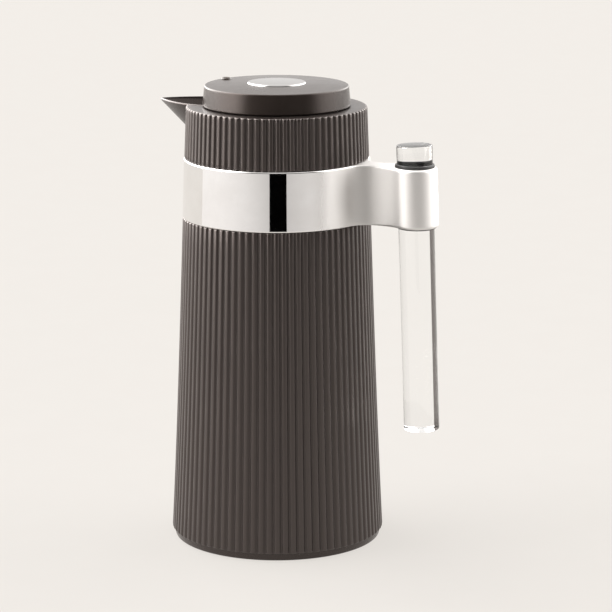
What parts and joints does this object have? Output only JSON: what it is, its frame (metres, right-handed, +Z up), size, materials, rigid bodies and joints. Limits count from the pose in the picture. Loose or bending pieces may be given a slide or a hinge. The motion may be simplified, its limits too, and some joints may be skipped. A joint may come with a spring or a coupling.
{
  "type": "insulated coffee jug",
  "caption": "Ribbed insulated coffee jug with a glass vacuum flask, press-button screw stopper, beak spout, chrome strap and a clear rod handle.",
  "frame": {"origin": "on the jug's own axis, on the surface it stands on", "axes": "+Z up along the jug's axis, +X towards the handle, -X towards the spout; the XZ plane halves the body, spout and handle"},
  "size_m": [0.1907, 0.135, 0.2916],
  "materials": {
    "graphite_casing": "fine satin, warm dark grey, ribbed",
    "graphite_lid": "soft-touch satin, warm dark grey",
    "chrome_plate": "bright mirror plating on the band and the button, satin on the arm",
    "clear_acrylic": "clear, polished",
    "black_rubber": "matte",
    "silicone_seal": "translucent white silicone",
    "natural_plastic": "natural food-grade plastic",
    "stopper_plastic": "dark grey food-grade plastic",
    "silvered_glass": "silvered on the vacuum side",
    "fastener_steel": "plain stainless steel",
    "mark_black": "matte"
  },
  "bodies": {
    "jug": {"body_shell": "graphite_casing", "base_cap": "graphite_casing", "foot_pad_ring": "black_rubber", "flask_adjuster": "natural_plastic", "flask_cushion": "black_rubber", "outer_glass": "silvered_glass", "inner_glass": "silvered_glass", "flask_spacers": "natural_plastic", "neck_gasket": "silicone_seal", "shoulder_collar": "graphite_casing", "pour_funnel": "stopper_plastic", "strap_band": "chrome_plate", "rod_bush_upper": "black_rubber", "rod_bush_lower": "black_rubber", "rod_screw": "fastener_steel", "rod_screw_washer": "fastener_steel", "handle_rod": "clear_acrylic"},
    "gasket": {"stopper_gasket": "silicone_seal"},
    "lid": {"stopper_body": "stopper_plastic", "lid_cap": "graphite_lid", "lid_mark": "mark_black", "button_guide": "stopper_plastic", "stem_seal": "silicone_seal", "lid_screws": "fastener_steel"},
    "button": {"push_button": "chrome_plate", "valve_stem": "fastener_steel", "valve_plug": "stopper_plastic", "valve_seal": "silicone_seal", "plug_clip": "fastener_steel", "return_spring": "fastener_steel"}
  },
  "joints": [
    {"name": "lid_lift", "type": "slide", "parent": "jug", "child": "gasket", "axis": [0, 0, 1], "range_m": [0, 0.07]},
    {"name": "lid_turn", "type": "hinge", "parent": "gasket", "child": "lid", "pos_m": [0, 0, 0.277], "axis": [0, 0, 1], "range_deg": [0, 270]},
    {"name": "button_press", "type": "slide", "parent": "lid", "child": "button", "axis": [0, 0, -1], "range_m": [0, 0.004], "stiffness_N_per_m": 450, "springref_m": -0.006, "deforming": ["return_spring"]}
  ]
}
